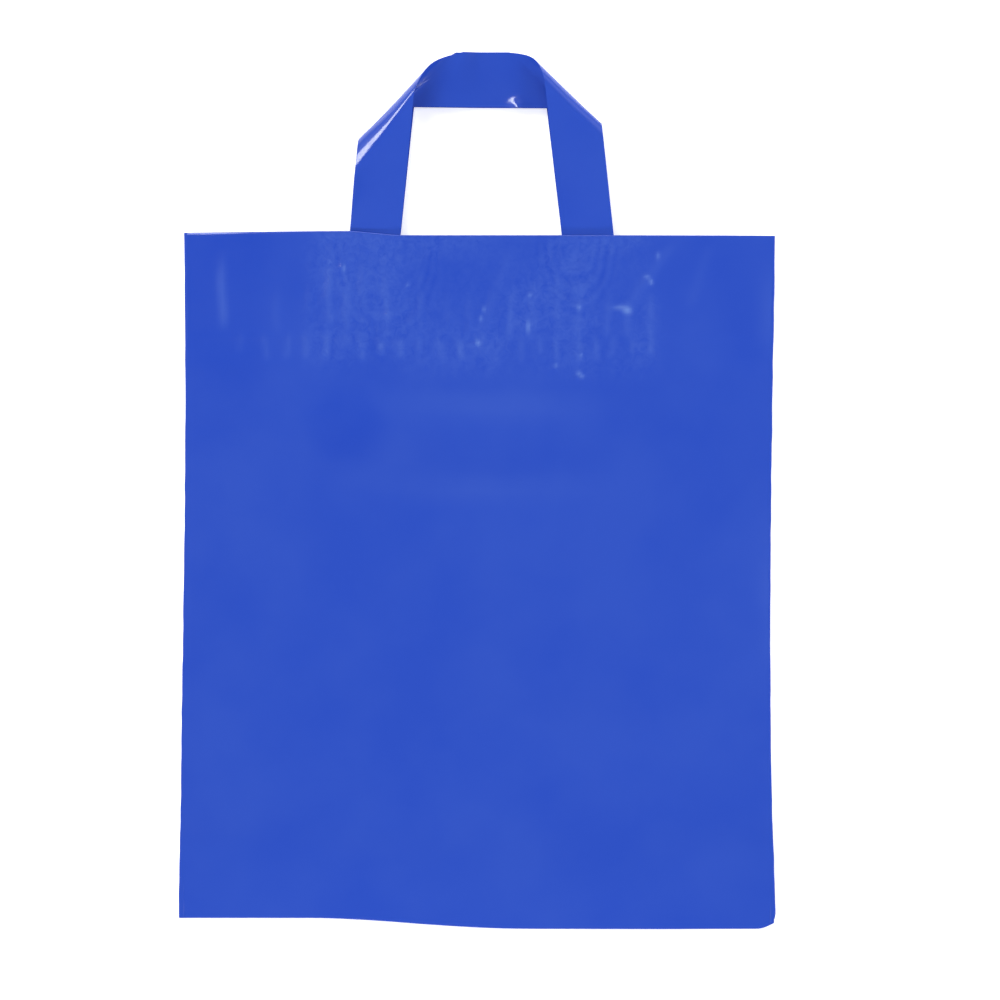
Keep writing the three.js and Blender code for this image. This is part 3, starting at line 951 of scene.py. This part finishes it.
@dataclass
class SideWelds:
    """The two welded edges that join every layer, in millimetres."""

    body: BagBody
    width: float = 2.6
    lip: float = 0.8
    proud: float = 0.12
    lift: float = 0.05
    round_corner: float = 6.0
    steps: int = 150
    corner_steps: int = 16
    sharpest_bend: float = 12.0  # degrees
    ripple: SoftNoise = SoftNoise(31)
    wobble: Place = (0.18, 0.1)  # sideways and up

    def ring(self, depth: float, side: int) -> list[tuple[float, float, float]]:
        """Draw the band's section.

        Args:
            depth: Depth below the mouth.
            side: -1 for left and 1 for right.

        Returns:
            The section as a closed line of points.
        """
        body = self.body
        sideways, upward = self.wobble
        edge = body.half_width(depth) + sideways * float(self.ripple.at(depth / 9, side * 3.0))
        past = max(0.0, depth - (body.length - self.round_corner))
        fall = past / self.round_corner if side > 0 else 0.0
        outer = edge - self.round_corner * (1 - math.sqrt(1 - fall * fall)) * 0.6
        inner = edge - self.width - self.lip
        top = body.stack(depth) + body.layer + self.proud
        top += upward * float(self.ripple.at(depth / 6, 20 + side))
        section = (
            (inner, self.lift), (inner, top - 0.18), (inner + 0.5, top), (outer - 0.15, top),
            (outer, top - 0.2), (outer, self.lift + 0.3), (outer - 0.5, self.lift),
        )
        line = []
        for across, height in section:
            x = side * across + body.middle(depth)
            y = float(body.along(np.array(x), depth))
            line.append((x + OUTLINE_SHIFT[0], y + OUTLINE_SHIFT[1], height))
        return line

    def mesh(self, side: int) -> bpy.types.Mesh:
        """Build the band along one side.

        Args:
            side: -1 for left and 1 for right.

        Returns:
            The mesh, in metres.
        """
        bend = self.body.length - 1.5 * self.round_corner
        straight = np.linspace(0.0, bend, self.steps)[:-1]
        depths = np.append(straight, np.linspace(bend, self.body.length, self.corner_steps))
        rings = [self.ring(float(depth), side) for depth in depths]
        size = len(rings[0])
        faces: list[list[int]] = []
        for r in range(len(rings) - 1):
            for k in range(size):
                a, b = r * size + k, r * size + (k + 1) % size
                faces.append([a, b, b + size, a + size][:: side * -1])
        last = (len(rings) - 1) * size
        faces.append(list(range(size))[:: side])
        faces.append([last + k for k in range(size)][:: -side])
        mesh = bpy.data.meshes.new("side_weld")
        mesh.from_pydata((np.array(rings).reshape(-1, 3) * MM).tolist(), [], faces)
        mesh.validate()
        mesh.shade_smooth()
        mesh.set_sharp_from_angle(angle=math.radians(self.sharpest_bend))
        return mesh

    def build(self, finish: FilmFinish) -> list[bpy.types.Object]:
        """Make both bands.

        Args:
            finish: Their finish.

        Returns:
            The new pieces.
        """
        material = finish.make()
        names = {-1: "left_side_weld", 1: "right_side_weld"}
        return [
            add_piece(name, self.mesh(side), material) for side, name in names.items()
        ]


@dataclass(frozen=True)
class CornerRoll:
    """The soft roll in which a strip turns a corner, in millimetres."""

    height: float
    reach: float
    inset: float
    cone: float
    low: float
    middle: float
    arch: float
    fan: float
    shoulder: float
    draw: float

    def reach_at(self, across: Numbers) -> Numbers:
        """Return how far the roll reaches out, at shares of the strip's width from its middle."""
        return self.reach * (1 - 2 * self.fan * across)

    def section(self, half: Numbers, across: Numbers, angle: float) -> tuple[Numbers, Numbers]:
        """Read the roll's section.

        Args:
            half: Half the film's length round the roll, at each place across the strip.
            across: Those places, as shares of the strip's width from its middle.
            angle: How far round, from 0 at the leg to pi at the top strip.

        Returns:
            How far out the film is, and how far below the roll's top.
        """
        front = min(angle, math.pi - angle)
        run = 2 * half * front / math.pi
        reach = self.reach_at(across)
        step = np.minimum(run / reach, 1)
        wall = np.maximum(0, run - reach) / (half - reach)
        bend = self.shoulder * (1 - np.sqrt(1 - step * step))
        straight = bend + (self.height / 2 - self.shoulder) * wall
        rounded = self.height / 2 * (1 - math.cos(front))
        swing = ease(-0.5, 0.2, across)
        out = reach * (step + (math.sin(front) - step) * swing)
        drop = straight + (rounded - straight) * swing
        return out, self.height - drop if angle > math.pi / 2 else drop


@dataclass
class LoopHandle:
    """One strip of film: two ends inside the hem, two legs, two rolled corners and a top."""

    name: str
    node: str
    slot: str
    rolls: dict[int, CornerRoll]
    foot_height: Callable[[Numbers, Numbers], Numbers]
    pull_in: float = 0.0
    strip: float = 35.4
    thickness: float = 0.3
    foot_depth: float = 60.0
    flat_length: float = 436.0
    leg_spread: float = 136.7
    shoulder_spread: float = 115.2
    rise: float = 99.8
    offset: float = 2.2
    shoulder_offset: float = 1.5
    tilt: float = 1.0
    mouth_y: float = 162.65
    steps_across: int = 24
    row_counts: tuple[int, int, int, int] = (20, 40, 48, 24)  # in the foot, leg, roll and top
    steady: float = 0.45
    soft_start: float = 0.1
    climb_start: float = -1.0
    dimple: tuple[float, float, float, float] | None = None  # across, along, radius, height
    ripple: SoftNoise = SoftNoise(47)
    ripple_height: float = 0.3
    ripple_length: float = 16.0

    def mouth_point(self, side: int) -> Numbers:
        """Return where a leg's middle line leaves the bag."""
        return np.array([self.offset + side * self.leg_spread / 2, self.mouth_y])

    def shoulder(self, side: int) -> Numbers:
        """Return where the middle lines of a leg and the top strip meet."""
        across = self.shoulder_offset + side * (self.shoulder_spread / 2 - self.pull_in * 0.3)
        up = self.mouth_y + self.rise - side * self.tilt * 0.5 - self.pull_in * 0.3
        return np.array([across, up])

    def frame(self, side: int) -> dict[str, Numbers | float]:
        """Work out the directions of a leg, of its fold and of the strip across.

        Args:
            side: -1 for left and 1 for right.

        Returns:
            The directions and the places they start from, by name.
        """
        base, corner = self.mouth_point(side), self.shoulder(side)
        span = float(np.linalg.norm(corner - base))
        leg = (corner - base) / span
        onward = self.shoulder(-side) - corner
        onward = onward / np.linalg.norm(onward)
        outward = (leg - onward) / np.linalg.norm(leg - onward)
        inward = np.array([leg[1], -leg[0]]) * -side
        axis = np.array([-outward[1], outward[0]]) * side
        slope = float(leg @ outward)
        return {
            "base": base, "corner": corner, "leg": leg, "outward": outward,
            "inward": inward, "axis": axis, "slope": slope, "span": span,
        }

    def lanes(self) -> Numbers:
        """Return the places across the strip at which it is drawn, from its middle."""
        return np.linspace(-0.5, 0.5, self.steps_across + 1) * self.strip

    def flat(self, f: dict[str, Numbers | float], length: Numbers, width: float = 1.0) -> Numbers:
        """Lay a line across the strip flat, as if the leg ran straight on.

        Args:
            f: The leg's directions.
            length: How far up the leg each point lies.
            width: How wide the strip is drawn there, as a share.

        Returns:
            The places of the points.
        """
        across = np.outer(self.lanes() * width, f["inward"])
        return f["base"] + np.outer(length, f["leg"]) + across

    def half(self, side: int) -> Numbers:
        """Lay out one half of the strip, from its end to the middle of the top.

        Args:
            side: -1 for left and 1 for right.

        Returns:
            The grid of its middle points.
        """
        f, roll = self.frame(side), self.rolls[side]
        v = self.lanes()
        crossing = f["span"] - v * float(f["inward"] @ f["outward"]) / f["slope"]
        along_axis = (self.flat(f, crossing) - f["corner"]) @ f["axis"]
        wrap = roll.reach_at(v / self.strip) + roll.inset + roll.cone * along_axis
        ones = np.ones_like(v)
        foot_rows, leg_rows, roll_rows, top_rows = self.row_counts
        rows = []
        for length in np.linspace(-self.foot_depth, -3, foot_rows):
            p = self.flat(f, ones * length, 1 - roll.draw)
            rows.append(np.column_stack([p, self.foot_height(p[:, 0], p[:, 1])]))
        roll_start = crossing - wrap / f["slope"]
        for share in np.linspace(0, 1, leg_rows, endpoint=False):
            length = self.climb_start + (roll_start - self.climb_start) * share
            p = self.flat(f, length, 1 - roll.draw)
            start = self.foot_height(p[:, 0], ones * self.mouth_y)
            climb = self.climb(float(share))
            rise = start + (roll.low + roll.height - start) * climb
            arch = roll.arch * float(ease(0, 0.2, share) * (1 - ease(0.4, 1, share)))
            crown = 1 - (2 * v / self.strip) ** 2
            rows.append(np.column_stack([p, rise + arch * crown]))
        for angle in np.linspace(0, math.pi, roll_rows):
            before = wrap * (2 * angle / math.pi - 1)
            out, drop = roll.section(wrap, v / self.strip, float(angle))
            width = 1 - roll.draw * float(1 - ease(math.pi / 2, math.pi, angle))
            p = self.flat(f, crossing + before / f["slope"], width)
            p = p + np.outer(out - wrap - before, f["outward"])
            rows.append(np.column_stack([p, roll.low + roll.height - drop]))
        middle = f["span"] + float(np.linalg.norm(self.shoulder(1) - self.shoulder(-1))) / 2
        begin = crossing + wrap / f["slope"]
        for share in np.linspace(0, 1, top_rows)[1:]:
            p = self.flat(f, begin + (middle - begin) * share)
            past = (p - f["corner"]) @ f["outward"]
            p = p - np.outer(2 * past, f["outward"])
            z = roll.low + (roll.middle - roll.low) * float(ease(0, 1, share))
            rows.append(np.column_stack([p, ones * z]))
        return np.stack(rows)

    def climb(self, share: float) -> float:
        """Return how far up to its roll a leg has come, at a share of its length."""
        start = self.soft_start
        even = share * share / (2 * start) if share < start else share - start / 2
        even = even / (1 - start / 2)
        return self.steady * even + (1 - self.steady) * float(ease(0, 1, share))

    def points(self) -> Numbers:
        """Return the grid of the whole strip's middle points."""
        left, right = self.half(-1), self.half(1)
        grid = np.concatenate([left, right[:-1][::-1]])
        free = ease(self.mouth_y, self.mouth_y + 20, grid[..., 1])
        waves = self.ripple.at(grid[..., 0] / self.ripple_length, grid[..., 1] / self.ripple_length)
        grid[..., 2] += self.ripple_height * free * waves
        if self.dimple:
            x, y, radius, height = self.dimple
            away = np.hypot(grid[..., 0] - x, grid[..., 1] - y)
            grid[..., 2] += height * bell(away, 0, radius)
        return grid + (*OUTLINE_SHIFT, 0.0)

    def build(self, finish: FilmFinish) -> bpy.types.Object:
        """Make the strip and stand it in for the plain solid.

        Args:
            finish: The strip's finish.

        Returns:
            The new piece.
        """
        sheet = FilmSheet(self.points(), self.thickness)
        piece = add_piece(self.name, sheet.mesh(self.name), finish.make())
        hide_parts(self.node)
        return piece


@dataclass
class HandlePair:
    """The front handle and, under it, the back one."""

    body: BagBody
    film_solid: float = 0.5  # how thick the solid's film is drawn
    strip_solid: float = 0.6
    seat_gap: float = 0.35
    strip_gap: float = 0.5
    table_gap: float = 0.25
    top_sag: float = 2.5
    leg_arch: float = 1.3
    back_roll: float = 9.5
    back_reach: float = 3.0
    back_pull_in: float = 1.0
    foot_press: float = 0.75
    weld_press: float = 0.9
    dimple: tuple[float, float, float, float] = (25.8, 244.5, 5.0, 2.2)

    def front_foot(self, x: Numbers, y: Numbers) -> Numbers:
        """Find the height of a front end under its hem, clear of the gathers.

        Args:
            x: Places across the bag.
            y: Places along it.

        Returns:
            The height of the strip's middle at each place.
        """
        body, relief = self.body, self.body.relief
        heights = np.empty_like(x)
        for i, (across, along) in enumerate(zip(x, y)):
            depth = float(np.clip(body.mouth_y - along, 2, body.hem_depth))
            share = across / body.half_width(depth)
            loose = 1 - abs(share) ** body.fullness_power
            ground = body.stack(depth) + body.loft(depth) * loose
            press = self.foot_press * float(ease(0, body.hem_depth * 0.55, depth))
            press = press + self.weld_press * relief.hem_dip(depth)
            under = ground - body.hem_pitch - self.film_solid / 2 - press
            heights[i] = under - self.seat_gap - self.strip_solid / 2
        return heights

    def back_foot(self, x: Numbers, y: Numbers) -> Numbers:
        """Return the height of a back end on its hem."""
        seated = self.body.hem_pitch + self.film_solid + self.seat_gap + self.strip_solid / 2
        resting = self.table_gap + self.strip_solid / 2
        mouth = self.body.mouth_y
        return seated + (resting - seated) * ease(mouth + 2, mouth + 30, y)

    def build(self, finish: FilmFinish, under_finish: FilmFinish) -> list[bpy.types.Object]:
        """Make both handles.

        Args:
            finish: The front strip's finish.
            under_finish: The back strip's finish.

        Returns:
            The new pieces.
        """
        ground = self.table_gap + self.strip_solid / 2
        pitch = self.strip_solid + self.strip_gap
        low, middle = ground + self.back_roll, ground + self.back_roll - self.top_sag
        front = {
            -1: CornerRoll(
                height=20.0, reach=10.5, inset=13.4, cone=-0.055, low=low + pitch,
                middle=middle + pitch, arch=self.leg_arch, fan=0.4, shoulder=9.0, draw=0.08,
            ),
            1: CornerRoll(
                height=15.0, reach=7.5, inset=6.8, cone=-0.006, low=low + pitch,
                middle=middle + pitch, arch=self.leg_arch, fan=0.15, shoulder=5.0, draw=0.065,
            ),
        }
        back = {
            side: replace(
                roll,
                height=-self.back_roll,
                reach=self.back_reach,
                inset=roll.inset + self.back_pull_in,
                low=low,
                middle=middle,
                arch=0.0,
                shoulder=-self.back_roll / 4,
            )
            for side, roll in front.items()
        }
        over = LoopHandle(
            "front_loop", "front_handle", "front_strip", front, self.front_foot, dimple=self.dimple
        )
        under = LoopHandle(
            "back_loop", "back_handle", "back_strip", back, self.back_foot, self.back_pull_in
        )
        return [over.build(finish), under.build(under_finish)]


@dataclass(frozen=True)
class SoftBox:
    """A soft light panel that looks at the bag."""

    name: str
    place: tuple[float, float, float]
    size: tuple[float, float]
    power: float

    def build(self) -> None:
        """Hang the panel."""
        light = bpy.data.lights.new(self.name, "AREA")
        light.shape = "RECTANGLE"
        light.size, light.size_y = self.size
        light.energy = self.power
        panel = place_in_scene(self.name, light)
        panel.location = self.place
        x, y, z = self.place
        flat = math.hypot(x, y)
        panel.rotation_euler = (math.atan2(flat, z), 0.0, math.atan2(y, x) + math.pi / 2)


@dataclass
class Studio:
    """The pale floor, the soft light and the camera that looks straight down."""

    floor_size: float = 9.0
    camera_height: float = 3.6
    field_width: float = 0.642
    focus_height: float = 0.008
    view_middle: tuple[float, float] = (0.0148, -0.0058)
    sensor: float = 36.0
    camera_reach: float = 30.0
    zenith: float = 0.27
    surround: float = 1.35
    near_shade: float = 45.0
    skyline: float = 0.45
    sky_edges: tuple[float, float, float] = (26.0, 56.0, 84.0)  # degrees from straight above
    near_edges: Place = (-0.5, 0.1)
    softboxes: tuple[SoftBox, ...] = (
        SoftBox("key_light", (-2.26, 2.26, 4.36), (0.75, 2.5), 98.0),
        SoftBox("front_light", (-1.3, -4.85, 1.15), (3.0, 1.1), 190.0),
        SoftBox("right_light", (4.9, -1.1, 1.15), (2.6, 1.1), 104.0),
        SoftBox("east_light", (3.72, 0.0, 3.35), (1.8, 1.8), 43.0),
        SoftBox("north_light", (0.0, 3.72, 3.35), (1.8, 1.8), 43.0),
        SoftBox("west_light", (-3.72, 0.0, 3.35), (1.8, 1.8), 43.0),
    )

    def floor(self) -> bpy.types.Object:
        """Lay the floor."""
        half = self.floor_size / 2
        corners = [(-half, -half, 0), (half, -half, 0), (half, half, 0), (-half, half, 0)]
        mesh = bpy.data.meshes.new("floor")
        mesh.from_pydata(corners, [], [(0, 1, 2, 3)])
        mesh.materials.append(FloorFinish().make())
        floor = place_in_scene("floor", mesh)
        return floor

    def camera(self) -> None:
        """Set up the camera over the bag."""
        lens = bpy.data.cameras.new("camera")
        lens.sensor_width = self.sensor
        lens.lens = self.sensor * (self.camera_height - self.focus_height) / self.field_width
        lens.clip_end = self.camera_reach
        camera = place_in_scene("camera", lens)
        camera.location = (*self.view_middle, self.camera_height)
        bpy.context.scene.camera = camera

    def surroundings(self) -> None:
        """Light the bag from all round, least from straight above and from the base's side."""
        scene = bpy.context.scene
        scene.view_settings.view_transform = "Standard"
        world = bpy.data.worlds.new("white_tent")
        world.use_nodes = True
        tree = world.node_tree
        background = tree.nodes["Background"]
        place = tree.nodes.new("ShaderNodeTexCoord")
        split = tree.nodes.new("ShaderNodeSeparateXYZ")
        arc = tree.nodes.new("ShaderNodeMath")
        arc.operation = "ARCCOSINE"
        tree.links.new(place.outputs["Generated"], split.inputs["Vector"])
        tree.links.new(split.outputs["Z"], arc.inputs[0])
        angle = arc.outputs["Value"]
        top, plateau, horizon = (math.radians(edge) for edge in self.sky_edges)
        most = math.radians(self.near_shade)
        shade = remap(tree, split.outputs["Y"], self.near_edges, (most, 0.0), soft=True)
        shifted = combine(tree, "SUBTRACT", angle, shade)
        upper = remap(tree, shifted, (top, plateau), (self.zenith, self.surround), soft=True)
        lower = remap(tree, angle, (plateau, horizon), (1.0, self.skyline), soft=True)
        tree.links.new(combine(tree, "MULTIPLY", upper, lower), background.inputs["Strength"])
        background.inputs["Color"].default_value = (1.0, 1.0, 1.0, 1.0)
        scene.world = world

    def build(self) -> None:
        """Set up everything round the bag."""
        self.floor()
        self.camera()
        self.surroundings()
        for panel in self.softboxes:
            panel.build()


def main() -> None:
    """Build the bag piece by piece, with what stands round it."""
    logging.basicConfig(level=logging.INFO)
    Studio().build()
    film = FilmFinish("body_film", crumple=Crumple())
    strip = FilmFinish("strip_film", grain=Grain.UP_STRIP)
    under_strip = FilmFinish("under_strip_film", grain=Grain.UP_STRIP, cloud_scale=14.0)
    weld = FilmFinish("weld_film", roughness=(0.16, 0.22))
    body = BagBody()
    handles = HandlePair(body)
    pieces = [body.build(film), *SideWelds(body).build(weld), *handles.build(strip, under_strip)]
    for piece in pieces:
        LOG.info("%s: %d faces", piece.name, len(piece.data.polygons))


if __name__ == "__main__":
    main()
